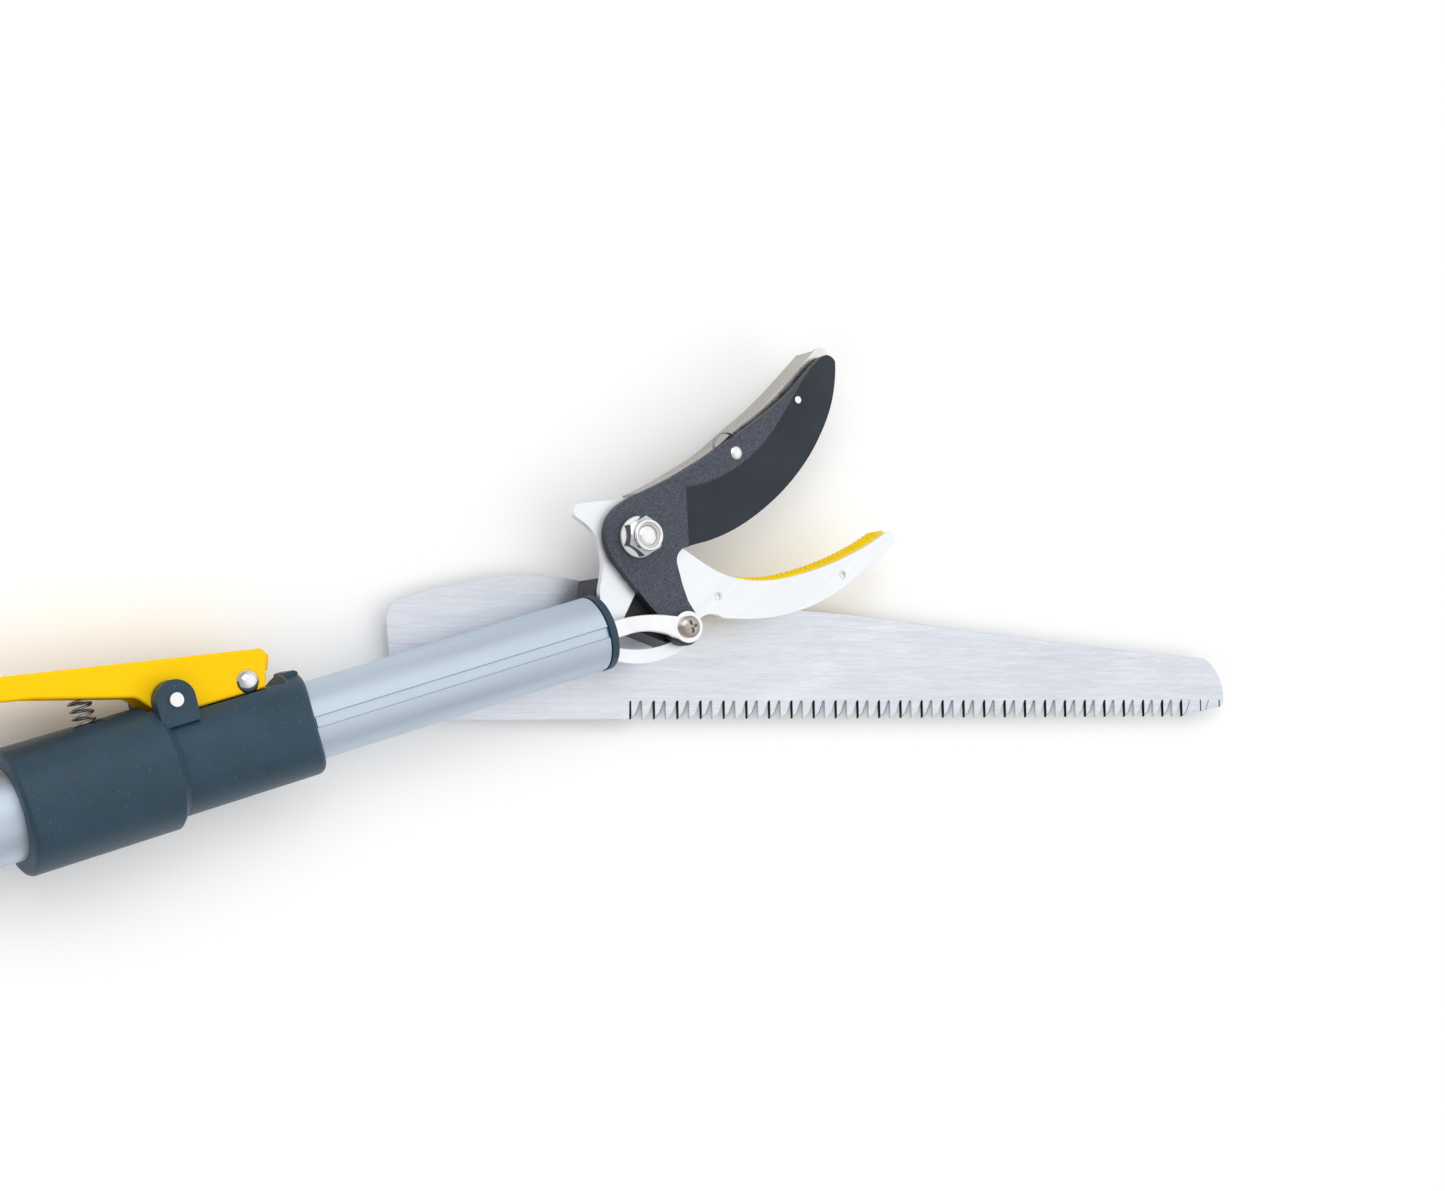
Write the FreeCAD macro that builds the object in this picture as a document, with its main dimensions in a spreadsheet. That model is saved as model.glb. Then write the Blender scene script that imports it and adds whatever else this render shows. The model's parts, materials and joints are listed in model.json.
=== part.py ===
import FreeCAD, Part
import math
import os
import Sketcher

# Telescoping pole saw with a cut-and-hold lopper head.
# Row frame: +X runs along the pole from the hanging eye to the head, +Y is the side away from
# the saw teeth, +Z is the outer face of the head. The origin is the centre of the hanging eye.
# Head pieces are drawn about the head end of the inner pole, on the pole's axis.

V = FreeCAD.Vector
doc = FreeCAD.newDocument("PoleSaw")
sheet = doc.addObject("Spreadsheet::Sheet", "Dimensions")

DIMENSIONS = {
    # poles
    "head_x": 1250.0,
    "outer_pole_x": 150.0,
    "outer_pole_length": 924.0,
    "outer_pole_radius": 16.0,
    "outer_pole_bore": 14.8,
    "inner_pole_length": 1010.0,
    "tube_end": 1.0,
    "inner_pole_radius": 14.0,
    "inner_pole_bore": 12.5,
    "groove_width": 4.2,
    "groove_depth": 0.9,
    "bush_radius": 14.7,
    # pull rods
    "rod_radius": 3.0,
    "rod_x": 88.0,
    "rod_length": 972.0,
    "pull_tube_radius": 5.0,
    "pull_tube_bore": 3.7,
    "pull_tube_x": 300.0,
    "pull_tube_length": 896.0,
    "clutch_radius": 8.0,
    "guide_radius": 12.4,
    # head plate and blade
    "plate_thickness": 3.0,
    "blade_z": 3.2,
    "blade_thickness": 3.5,
    "edge_thickness": 0.5,
    "pivot_x": 24.6,
    "pivot_y": 30.2,
    "pivot_bolt_radius": 4.0,
    "pivot_bush_radius": 5.5,
    "washer_radius": 7.8,
    "washer_thickness": 1.5,
    "nut_flats": 13.0,
    "nut_height": 6.0,
    "crank_x": 34.2,
    "crank_y": -7.3,
    "link_z": 7.0,
    "link_thickness": 2.5,
    "link_tail_x": -46.0,
    "crank_screw_radius": 2.5,
    # holder and jaw pad
    "holder_z": -0.8,
    "holder_sheet": 1.4,
    "holder_flange": 12.0,
    "holder_pin_x": 75.4,
    "holder_pin_y": 50.5,
    "guide_pin_x": 108.3,
    "guide_pin_y": 63.8,
    "jaw_pad_depth": 7.8,
    "jaw_pad_lip": 2.8,
    # saw
    "saw_z": -16.2,
    "saw_thickness": 1.2,
    "saw_x": 12.4,
    "saw_y": -36.2,
    "saw_angle": -15.9,
    "tooth_start": 0.7,
    "tooth_pitch": 5.1,
    "tooth_depth": 7.1,
    "tooth_count": 53.0,
    "bolt_radius": 2.5,
    "bolt_head_radius": 4.4,
    "bolt_head_height": 2.2,
    # collar and lock lever
    "collar_bore": 14.1,
    "collar_radius": 18.6,
    "collar_socket": 16.05,
    "collar_rear_radius": 22.0,
    "lever_pin_x": -166.3,
    "lever_pin_y": 21.5,
    "lever_pin_radius": 2.0,
    "lever_width": 17.0,
    "lever_sheet": 1.5,
    "shoe_pin_x": -137.8,
    "shoe_pin_y": 20.3,
    "shoe_pin_radius": 2.5,
    # handle
    "shell_width": 20.0,
    "shell_wall": 2.6,
    "grip_width": 16.0,
    "trigger_x": 122.0,
    "trigger_y": 12.0,
    "trigger_angle": 18.0,
    "trigger_width": 16.0,
    "trigger_slot": 8.0,
    "trigger_pin_radius": 2.5,
    "rod_pin_x": 133.92,
    "rod_pin_y": -24.7,
    "rod_pin_radius": 2.5,
    "bail_x": 50.0,
    "bail_y": -126.0,
    "bail_reach": 56.0,
    "bail_wire_radius": 1.5,
    "eye_radius": 4.0,
    "eye_thickness": 8.0,
}


def fill_sheet():
    for row, (name, value) in enumerate(DIMENSIONS.items(), start=1):
        sheet.set("A%d" % row, name)
        sheet.set("B%d" % row, repr(value))
        sheet.setAlias("B%d" % row, name)
    doc.recompute()


def size(name):
    """A driving dimension, read back from the sheet."""
    return float(sheet.get(name))


def cell(name):
    return "Dimensions.%s" % name


def bind(obj, prop, value):
    """Bind a property to an expression, or set it when the value is a plain number."""
    if isinstance(value, str):
        obj.setExpression(prop, value)
    else:
        path = prop.split(".")
        if len(path) == 1:
            setattr(obj, prop, value)
        else:
            obj.setExpression(prop, repr(float(value)))


def place(obj, at=(0, 0, 0), axis=None, angle=0.0):
    """Give an object its place: numbers or sheet expressions, then an optional turn."""
    if axis is not None:
        obj.Placement = FreeCAD.Placement(V(0, 0, 0), FreeCAD.Rotation(V(*axis), angle))
    for name, value in zip("xyz", at):
        if value != 0:
            bind(obj, "Placement.Base.%s" % name, value)


HEAD = cell("head_x")
TUBE_END = HEAD + " - " + cell("tube_end")
ALONG_X = ((0, 1, 0), 90.0)
ALONG_Y = ((1, 0, 0), -90.0)


# ---------------------------------------------------------------- outlines

def polar(centre, radius, degrees):
    angle = math.radians(degrees)
    return (centre[0] + radius * math.cos(angle), centre[1] + radius * math.sin(angle))


def outline(start, *steps):
    """A closed outline. A step is a point (line), ("arc", through, end) or ("curve", points)."""
    edges = []
    here = start
    for step in list(steps) + [start]:
        if step[0] == "arc":
            end = step[2]
            edges.append(Part.Arc(V(*here, 0), V(*step[1], 0), V(*end, 0)))
        elif step[0] == "curve":
            end = step[1][-1]
            spline = Part.BSplineCurve()
            spline.interpolate([V(*point, 0) for point in [here] + list(step[1])])
            edges.append(spline)
        else:
            end = step
            if math.dist(here, end) > 1e-6:
                edges.append(Part.LineSegment(V(*here, 0), V(*end, 0)))
        here = end
    return edges


def rounded(corners, inset=0.0):
    """A closed polygon of (x, y, radius) corners, moved inwards by inset, each corner rounded."""
    count = len(corners)
    area = sum(corners[i - 1][0] * corners[i][1] - corners[i][0] * corners[i - 1][1]
               for i in range(count))
    side = 1.0 if area > 0 else -1.0
    lines = []
    for i in range(count):
        a = V(*corners[i][:2], 0)
        b = V(*corners[(i + 1) % count][:2], 0)
        along = (b - a).normalize()
        inward = V(-along.y, along.x, 0) * side
        lines.append((a + inward * inset, along))
    points = []
    for i in range(count):
        (p, u), (q, w) = lines[i - 1], lines[i]
        cross = u.x * w.y - u.y * w.x
        run = ((q.x - p.x) * w.y - (q.y - p.y) * w.x) / cross
        points.append(p + u * run)
    edges = []
    ends = []
    for i in range(count):
        before, here, after = points[i - 1], points[i], points[(i + 1) % count]
        u = (before - here).normalize()
        w = (after - here).normalize()
        half = u.getAngle(w) / 2.0
        convex = (-u.x * w.y + u.y * w.x) * side > 0
        radius = max(corners[i][2] + (-inset if convex else inset), 0.4)
        reach = radius / math.tan(half)
        centre = here + (u + w).normalize() * (radius / math.sin(half))
        middle = centre + (here - centre).normalize() * radius
        ends.append((here + u * reach, middle, here + w * reach))
    for i in range(count):
        start, middle, end = ends[i]
        edges.append(Part.Arc(start, middle, end))
        following = ends[(i + 1) % count][0]
        if (following - end).Length > 1e-6:
            edges.append(Part.LineSegment(end, following))
    return edges


def capsule(start, end, radius):
    """A slot outline about the line from start to end."""
    along = V(end[0] - start[0], end[1] - start[1], 0).normalize()
    side = V(-along.y, along.x, 0) * radius
    a, b = V(*start, 0), V(*end, 0)
    return [
        Part.LineSegment(a - side, b - side),
        Part.Arc(b - side, b + along * radius, b + side),
        Part.LineSegment(b + side, a + side),
        Part.Arc(a + side, a - along * radius, a - side),
    ]


def offset_points(points, distance):
    """The points moved sideways, to the left of their direction, by distance."""
    moved = []
    for i, (x, y) in enumerate(points):
        ahead = points[min(i + 1, len(points) - 1)]
        behind = points[max(i - 1, 0)]
        dx, dy = ahead[0] - behind[0], ahead[1] - behind[1]
        run = math.hypot(dx, dy)
        moved.append((x - distance * dy / run, y + distance * dx / run))
    return moved


# ---------------------------------------------------------------- bodies and primitives

def new_body(label, at=(0, 0, 0), axis=None, angle=0.0):
    body = doc.addObject("PartDesign::Body", label)
    body.Label = label
    place(body, at, axis, angle)
    return body


def origin_feature(body, role):
    return [f for f in body.Origin.OriginFeatures if f.Role == role][0]


def draw(body, wires=(), circles=(), plane="XY_Plane", lift=0.0):
    """A sketch on one of the body's own planes: outlines, and circles bound to the sheet."""
    sketch = body.newObject("Sketcher::SketchObject", body.Label + "_sketch")
    sketch.AttachmentSupport = [(origin_feature(body, plane), "")]
    sketch.MapMode = "FlatFace"
    if lift != 0.0:
        bind(sketch, "AttachmentOffset.Base.z", lift)
    for wire in wires:
        sketch.addGeometry(wire, False)
    for x, y, radius in circles:
        circle = Part.Circle(V(number(x), number(y), 0), V(0, 0, 1), number(radius))
        index = sketch.addGeometry(circle, False)
        for kind, value in (("DistanceX", x), ("DistanceY", y)):
            constraint = sketch.addConstraint(
                Sketcher.Constraint(kind, -1, 1, index, 3, number(value)))
            if isinstance(value, str):
                sketch.setExpression("Constraints[%d]" % constraint, value)
        constraint = sketch.addConstraint(Sketcher.Constraint("Radius", index, number(radius)))
        if isinstance(radius, str):
            sketch.setExpression("Constraints[%d]" % constraint, radius)
    doc.recompute()
    return sketch


def number(value):
    """The number behind a plain value or a sheet expression made of cells, +, - and *."""
    if not isinstance(value, str):
        return float(value)
    total = 0.0
    for term in value.replace("- ", "+ -").split("+ "):
        product = 1.0
        for factor in term.strip().split(" * "):
            sign = -1.0 if factor.startswith("-") else 1.0
            factor = factor.lstrip("-")
            plain = size(factor.split(".")[1]) if factor.startswith("Dimensions.") else float(factor)
            product *= sign * plain
        total += product
    return total


def pad(body, sketch, length, both_ways=False, down=False):
    feature = body.newObject("PartDesign::Pad", body.Label + "_pad")
    feature.Profile = sketch
    bind(feature, "Length", length)
    if both_ways:
        feature.SideType = "Symmetric"
    feature.Reversed = down
    sketch.Visibility = False
    doc.recompute()
    return feature


def pocket(body, sketch, length=None, both_ways=False, up=False):
    """A cut: through all both ways when no length is given, else down from the sketch, or up."""
    before = body.Shape.Volume
    feature = body.newObject("PartDesign::Pocket", body.Label + "_pocket")
    feature.Profile = sketch
    if length is None:
        feature.Type = "ThroughAll"
        feature.SideType = "Symmetric"
    else:
        bind(feature, "Length", length)
        if both_ways:
            feature.SideType = "Symmetric"
    feature.Reversed = up
    doc.recompute()
    if body.Shape.Volume > before - 1e-3:
        raise RuntimeError("%s: a pocket cut nothing" % body.Label)
    return feature


def turn(body, sketch, axis="Z_Axis"):
    feature = body.newObject("PartDesign::Revolution", body.Label + "_turned")
    feature.Profile = sketch
    feature.ReferenceAxis = (origin_feature(body, axis), [""])
    feature.Angle = 360.0
    doc.recompute()
    return feature


def round_edges(body, radius, wanted):
    """Fillet the edges of the body's last feature that the test wanted(edge) picks."""
    base = body.Tip
    names = ["Edge%d" % i for i, edge in enumerate(base.Shape.Edges, start=1) if wanted(edge)]
    feature = body.newObject("PartDesign::Fillet", body.Label + "_fillet")
    feature.Base = (base, names)
    bind(feature, "Radius", radius)
    doc.recompute()
    return feature


def cylinder(radius, length, at=(0, 0, 0), axis=None, angle=0.0, label="rod_blank"):
    solid = doc.addObject("Part::Cylinder", label)
    bind(solid, "Radius", radius)
    bind(solid, "Height", length)
    place(solid, at, axis, angle)
    return solid


def box(lengths, at=(0, 0, 0), label="block_blank"):
    solid = doc.addObject("Part::Box", label)
    for prop, value in zip(("Length", "Width", "Height"), lengths):
        bind(solid, prop, value)
    place(solid, at)
    return solid


def join(label, *solids):
    joined = doc.addObject("Part::MultiFuse", label)
    joined.Shapes = list(solids)
    joined.Label = label
    doc.recompute()
    return joined


def cut(label, base, *tools):
    tool = tools[0] if len(tools) == 1 else join(label + "_tool", *tools)
    result = doc.addObject("Part::Cut", label)
    result.Base = base
    result.Tool = tool
    result.Label = label
    doc.recompute()
    return result


def group(label, solids):
    """Identical loose pieces that share one node as separate solids."""
    together = doc.addObject("Part::Compound", label)
    together.Links = solids
    together.Label = label
    doc.recompute()
    return together


def turned_piece(label, profile, at=(0, 0, 0), axis="Z_Axis"):
    """A piece turned about Z (profile in x, z) or about X (profile in x, r)."""
    body = new_body(label, at)
    plane = "XZ_Plane" if axis == "Z_Axis" else "XY_Plane"
    turn(body, draw(body, [profile], plane=plane), axis)
    return body


def coil(label, radius, wire_radius, pitch, length, at, axis=None, angle=0.0):
    """A helical spring, swept from a circle along a helix."""
    spine = doc.addObject("Part::Helix", label + "_helix")
    spine.Radius = radius
    spine.Pitch = pitch
    spine.Height = length
    section = doc.addObject("Part::Circle", label + "_wire")
    section.Radius = wire_radius
    section.Placement = FreeCAD.Placement(V(radius, 0, 0), FreeCAD.Rotation(V(1, 0, 0), 90))
    doc.recompute()
    spring = doc.addObject("Part::Sweep", label)
    spring.Sections = [section]
    spring.Spine = (spine, ["Edge%d" % i for i in range(1, len(spine.Shape.Edges) + 1)])
    spring.Solid = True
    spring.Frenet = True
    spring.Label = label
    place(spring, at, axis, angle)
    doc.recompute()
    return spring


nodes = []


def keep(*objects):
    nodes.extend(objects)


# ---------------------------------------------------------------- poles and rods

def make_outer_pole():
    shell = cylinder(cell("outer_pole_radius"), cell("outer_pole_length"),
                     (cell("outer_pole_x"), 0, 0), *ALONG_X)
    bore = cylinder(cell("outer_pole_bore"), cell("outer_pole_length"),
                    (cell("outer_pole_x"), 0, 0), *ALONG_X)
    keep(cut("outer_pole", shell, bore))


def grooved_circle(radius, width, depth, flare):
    """A circle with a shallow flat-bottomed notch at its top, for a grooved extrusion."""
    half = width / 2.0
    shoulder = math.sqrt(radius ** 2 - half ** 2)
    floor = radius - depth
    return outline((half, shoulder), (half - flare, floor), (flare - half, floor),
                   (-half, shoulder), ("arc", (0, -radius), (half, shoulder)))


def make_inner_pole():
    body = new_body("inner_pole", (TUBE_END, 0, 0))
    width, depth = size("groove_width"), size("groove_depth")
    outside = grooved_circle(size("inner_pole_radius"), width, depth, 0.3)
    inside = grooved_circle(size("inner_pole_bore"), width + 1.8, depth, 0.5)
    pad(body, draw(body, [outside, inside], plane="YZ_Plane"),
        cell("inner_pole_length") + " - " + cell("tube_end"), down=True)
    keep(body)

    start = cell("head_x") + " - " + cell("inner_pole_length")
    flange = cylinder(cell("bush_radius"), 8, (start + " - 8", 0, 0), *ALONG_X)
    sleeve = cylinder(cell("guide_radius"), 22, (start, 0, 0), *ALONG_X)
    bore = cylinder(5.4, 40, (start + " - 9", 0, 0), *ALONG_X)
    notch = box((30, 7, 4), (start, -3.5, 11.2))
    keep(cut("inner_pole_bush", join("bush_blank", flange, sleeve), bore, notch))

    guides = []
    for x in (520, 820, 1120):
        disc = cylinder(cell("guide_radius"), 8, (x, 0, 0), *ALONG_X)
        hole = cylinder(5.3, 10, (x - 1, 0, 0), *ALONG_X)
        slot = box((10, 7, 4), (x - 1, -3.5, 11.2))
        guides.append(cut("rod_guide", disc, hole, slot))
    keep(group("rod_guides", guides))


def make_pull_rods():
    rod = cylinder(cell("rod_radius"), cell("rod_length"), (cell("rod_x"), 0, 0), *ALONG_X)
    rod.Label = "lower_pull_rod"
    keep(rod)

    x = cell("pull_tube_x")
    shell = cylinder(cell("pull_tube_radius"), cell("pull_tube_length"), (x, 0, 0), *ALONG_X)
    bore = cylinder(cell("pull_tube_bore"), cell("pull_tube_length"), (x, 0, 0), *ALONG_X)
    keep(cut("upper_pull_tube", shell, bore))

    sleeve = cylinder(cell("clutch_radius"), 34, (x + " - 12", 0, 0), *ALONG_X)
    small = cylinder(3.1, 40, (x + " - 13", 0, 0), *ALONG_X)
    large = cylinder(5.02, 30, (x, 0, 0), *ALONG_X)
    keep(cut("rod_clutch", sleeve, small, large))

    neck = cylinder(3.65, 8, (HEAD + " - 61", 0, 0), *ALONG_X)
    wall = box((2.0, 9, 15.6), (HEAD + " - 54", -4.5, -4.5))
    low_ear = box((11.0, 9, 1.4), (HEAD + " - 52", -4.5, 5.4))
    high_ear = box((11.0, 9, 1.4), (HEAD + " - 52", -4.5, 9.7))
    tail = HEAD + " + " + cell("link_tail_x")
    hole = cylinder(1.52, 8, (tail, 0, 4))
    keep(cut("pull_clevis", join("clevis_blank", neck, wall, low_ear, high_ear), hole))
    pin = cylinder(1.5, 5.7, (tail, 0, 5.4))
    pin.Label = "clevis_pin"
    keep(pin)


def make_pole_end():
    cap = outline((0.0, 12.4), (0.0, 13.3), (0.5, 13.3), (0.5, 14.3), (3.0, 14.3),
                  ("arc", (3.35, 14.15), (3.5, 13.8)), (3.5, 12.4))
    keep(turned_piece("pole_end_cap", cap, (TUBE_END, 0, 0), "X_Axis"))

    near = cylinder(cell("guide_radius"), 34, (HEAD + " - 36", 0, 0), *ALONG_X)
    below = box((40, 30, 20), (HEAD + " - 38", -15, -16.95))
    channel = box((40, 13.8, 10), (HEAD + " - 38", -6.7, 6.6))
    keep(cut("plate_clamp_near", near, below, channel))
    far = cylinder(cell("guide_radius"), 34, (HEAD + " - 36", 0, 0), *ALONG_X)
    above = box((40, 30, 20), (HEAD + " - 38", -15, -0.05))
    holes = [cylinder(cell("bolt_radius"), 20, (HEAD + " - %d" % x, 0, -18)) for x in (12, 26)]
    keep(cut("plate_clamp_far", far, above, *holes))


# ---------------------------------------------------------------- head plate and jaw

PIVOT = (DIMENSIONS["pivot_x"], DIMENSIONS["pivot_y"])
JAW_UPPER = [(44.8, 20.5), (52.1, 12.7), (58.1, 7.6), (64.6, 3.9), (76.5, 0.1), (87.8, -1.2),
             (99.5, -1.3), (110.0, -0.6), (120.1, 0.8), (128.8, 2.7), (135.0, 4.6)]
JAW_LOWER = [(133.9, -1.8), (126.3, -5.3), (117.1, -8.9), (106.4, -12.1), (96.4, -14.0),
             (87.5, -14.7), (75.9, -14.2), (63.6, -11.8), (53.1, -8.5)]
JAW_RIVETS = [(53.6, -0.1), (110.0, -6.4)]


def make_head_plate():
    body = new_body("head_plate", (HEAD, 0, 0))
    edge = outline(
        (-34.0, -11.9), (-34.0, 11.9), (4.7, 11.9),
        ("curve", [(5.3, 14.6), (9.1, 22.2), (10.4, 29.2), (9.1, 36.4), (6.7, 40.4)]),
        (4.0, 43.4), ("arc", (3.6, 46.2), (6.0, 48.1)),
        ("curve", [(14.5, 47.0), (22.5, 45.7), (28.6, 45.3)]), polar(PIVOT, 14.0, 58),
        ("arc", polar(PIVOT, 14.0, 20), polar(PIVOT, 14.0, -16)),
        JAW_UPPER[0], ("curve", JAW_UPPER[1:]),
        ("arc", (137.3, 3.6), (137.2, 0.6)), ("curve", JAW_LOWER),
        ("arc", (44.5, -5.8), (38.6, -11.2)),
        ("curve", [(34.2, -14.7), (26.0, -16.5), (17.5, -16.3), (10.2, -14.5), (4.7, -11.9)]),
    )
    crank_window = outline(
        (20.1, 10.7), (6.4, -3.4), polar(PIVOT, 41.7, -114.5),
        ("arc", polar(PIVOT, 41.7, -93), polar(PIVOT, 41.7, -71.5)),
        (38.6, -5.0), (35.5, 6.0), ("arc", (31.0, 11.0), (24.0, 12.6)),
    )
    holes = [(cell("pivot_x"), cell("pivot_y"), cell("pivot_bolt_radius") + " + 0.02")]
    holes += [(x, y, 1.5) for x, y in JAW_RIVETS]
    holes += [(-x, 0, cell("bolt_radius")) for x in (12, 26)]
    pad(body, draw(body, [edge]), cell("plate_thickness"))
    pocket(body, draw(body, [crank_window], holes))
    keep(body)


def make_jaw_pad():
    """Moulded gripping pad on the far side of the hook jaw, with a ribbed upper face."""
    body = new_body("jaw_pad", (HEAD, 0, "-" + cell("jaw_pad_depth")))
    line = JAW_UPPER[3:]
    lip = offset_points(line, 0.85)
    base = outline((60.5, 6.2), ("curve", lip), (136.4, 3.0), (135.2, 1.6),
                   ("curve", [(127.0, -2.6), (112.0, -9.8), (90.0, -12.0), (74.0, -11.0), (50.0, -3.6)]),
                   (50.6, 3.4))
    pad(body, draw(body, [base], [(x, y, 1.5) for x, y in JAW_RIVETS]), cell("jaw_pad_depth"))

    spline = Part.BSplineCurve()
    spline.interpolate([V(*point, 0) for point in line])
    edge = spline.toShape()
    rib_count = 30
    low, high = [], []
    for i in range(2 * rib_count + 1):
        at = edge.getParameterByLength(edge.Length * (0.03 + 0.95 * i / (2.0 * rib_count)))
        point, along = edge.valueAt(at), edge.tangentAt(at)
        side = V(-along.y, along.x, 0)
        low.append(point + side * 0.6)
        high.append(point + side * (1.8 if i % 2 else 0.9))
    ribs = []
    for i in range(0, 2 * rib_count, 2):
        ribs.append(Part.Arc(high[i], high[i + 1], high[i + 2]))
    ribs.append(Part.LineSegment(high[-1], low[-1]))
    floor = Part.BSplineCurve()
    floor.interpolate(list(reversed(low)))
    ribs.append(floor)
    ribs.append(Part.LineSegment(low[0], high[0]))
    pad(body, draw(body, [ribs]), cell("jaw_pad_depth") + " - " + cell("jaw_pad_lip"))
    keep(body)


def dome(radius, base, height):
    """The arc of a spherical cap in a turned profile, from its rim to its top on the axis."""
    sphere = (radius ** 2 + height ** 2) / (2.0 * height)
    half = math.asin(radius / abs(sphere)) / 2.0
    middle = (abs(sphere) * math.sin(half), base + height - sphere * (1.0 - math.cos(half)))
    return ("arc", middle, (0, base + height))


def rivet(label, at, head_radius, head_height, shank_radius, low, high, foot_radius, foot_height):
    """A rivet along Z: a domed head above z=high and a flat foot below z=low."""
    profile = outline(
        (0, low - foot_height), (foot_radius, low - foot_height), (foot_radius, low),
        (shank_radius, low), (shank_radius, high), (head_radius, high),
        dome(head_radius, high, head_height))
    return turned_piece(label, profile, at)


def make_jaw_rivets():
    depth = size("jaw_pad_depth")
    top = size("plate_thickness")
    profile = outline((0, top - 0.5), (0.5, top - 0.5), (1.0, top), (1.3, top),
                      (1.48, top - 0.18), (1.48, -depth), (2.8, -depth),
                      (2.8, -depth - 0.8), (0, -depth - 0.8))
    rivets = [turned_piece("jaw_rivet", profile, (HEAD + " + %s" % x, y, 0))
              for x, y in JAW_RIVETS]
    keep(group("jaw_rivets", rivets))


# ---------------------------------------------------------------- pivot

def make_pivot():
    at = (HEAD + " + " + cell("pivot_x"), cell("pivot_y"), 0)
    shank = size("pivot_bolt_radius") - 0.01
    hexagon = [polar((0, 0), size("nut_flats") / math.sqrt(3), 60 * i + 12) for i in range(6)]

    bolt = new_body("pivot_bolt", at)
    pad(bolt, draw(bolt, [outline(*hexagon)]), 5.3, down=True)
    stem = outline((0, -1.0), (shank, -1.0), (shank, 14.6), (shank - 0.7, 15.2),
                   dome(shank - 0.7, 15.2, 0.7))
    turn(bolt, draw(bolt, [stem], plane="XZ_Plane"))
    keep(bolt)

    ring = outline((4.05, 0), (5.48, 0), (5.48, size("blade_thickness")),
                   (4.05, size("blade_thickness")))
    keep(turned_piece("pivot_bush", ring, at[:2] + (cell("blade_z"),)))

    washer_z = size("blade_z") + size("blade_thickness") + 0.08
    washer_top = washer_z + size("washer_thickness")
    radius = size("washer_radius")
    washer = outline((4.2, washer_z), (radius - 0.3, washer_z), (radius, washer_z + 0.3),
                     (radius, washer_top - 0.35), (radius - 0.35, washer_top), (4.2, washer_top))
    keep(turned_piece("pivot_washer", washer, at))

    nut = new_body("pivot_nut", at[:2] + (washer_top,))
    height = size("nut_height")
    pad(nut, draw(nut, [outline(*hexagon)]), cell("nut_height"))
    crown = outline((7.6, height + 1), (7.6, height - 1.2), (6.35, height - 0.35),
                    (6.0, height - 0.1), (6.0, height + 1))
    groove = nut.newObject("PartDesign::Groove", "nut_chamfer")
    groove.Profile = draw(nut, [crown], plane="XZ_Plane")
    groove.ReferenceAxis = (origin_feature(nut, "Z_Axis"), [""])
    groove.Angle = 360.0
    doc.recompute()
    collar = outline((4.7, height - 0.5), (5.95, height - 0.5), (5.9, height + 1.3),
                     ("arc", (5.6, height + 1.95), (4.9, height + 2.0)), (4.7, height + 1.6))
    turn(nut, draw(nut, [collar], plane="XZ_Plane"))
    pocket(nut, draw(nut, (), [(0, 0, cell("pivot_bolt_radius"))]))
    recess = draw(nut, (), [(0, 0, 4.7)], lift=height - 0.5)
    pocket(nut, recess, 4, up=True)
    keep(nut)

    insert = outline((4.0, 0), (4.65, 0), (4.65, 1.5), (4.0, 1.2))
    keep(turned_piece("nut_nylon_ring", insert, at[:2] + (washer_top + height - 0.45,)))


# ---------------------------------------------------------------- blade, link and holder

CRANK = (DIMENSIONS["crank_x"], DIMENSIONS["crank_y"])
HOLDER_PIN = (DIMENSIONS["holder_pin_x"], DIMENSIONS["holder_pin_y"])
GUIDE_PIN = (DIMENSIONS["guide_pin_x"], DIMENSIONS["guide_pin_y"])
BLADE_EDGE = [(49.0, 21.4), (56.0, 21.3), (63.2, 21.9), (73.0, 23.9), (82.5, 27.0), (90.7, 30.5),
              (99.3, 35.2), (108.6, 41.7), (116.9, 49.4), (122.6, 56.1), (126.7, 62.7),
              (129.5, 68.9), (131.2, 74.4)]
GRIND_LINE = [(50.5, 44.5), (56.6, 43.9), (65.1, 44.4), (72.5, 45.9), (79.6, 48.2), (85.5, 51.0),
              (92.6, 55.4), (99.2, 60.6), (104.2, 64.9), (112.5, 71.4), (119.0, 76.2), (126.0, 81.4)]
BLADE_BACK = [(120.6, 75.9), (111.9, 70.9), (104.7, 67.0), (92.5, 62.0), (78.2, 57.1),
              (68.9, 54.2), (52.1, 49.5), (35.4, 46.5), (27.1, 45.4)]


def make_blade():
    body = new_body("blade", (HEAD, 0, cell("blade_z")))
    end = 6.9
    edge = outline(
        (38.4, 2.0), (37.9, 8.4), (38.0, 16.4), ("arc", (39.4, 19.8), (43.2, 21.4)), BLADE_EDGE[0],
        ("curve", BLADE_EDGE[1:]), ("arc", (128.4, 77.3), (124.4, 77.5)), ("curve", BLADE_BACK),
        ("curve", [(21.6, 43.8), (16.8, 41.3), (13.4, 37.6), (11.7, 33.2), (11.6, 28.6),
                   (12.8, 23.9)]),
        (22.0, 4.7), ("arc", (25.2, -1.2), polar(CRANK, end, 190)),
        ("arc", polar(CRANK, end, 280), polar(CRANK, end, 12)))
    holes = [
        (cell("pivot_x"), cell("pivot_y"), cell("pivot_bush_radius")),
        (cell("crank_x"), cell("crank_y"), cell("crank_screw_radius")),
        (cell("holder_pin_x"), cell("holder_pin_y"), 2.0),
        (cell("guide_pin_x"), cell("guide_pin_y"), 1.3),
    ]
    pad(body, draw(body, [edge]), cell("blade_thickness"))
    pocket(body, draw(body, (), holes))
    grind_bevel(body)
    keep(body)


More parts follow.
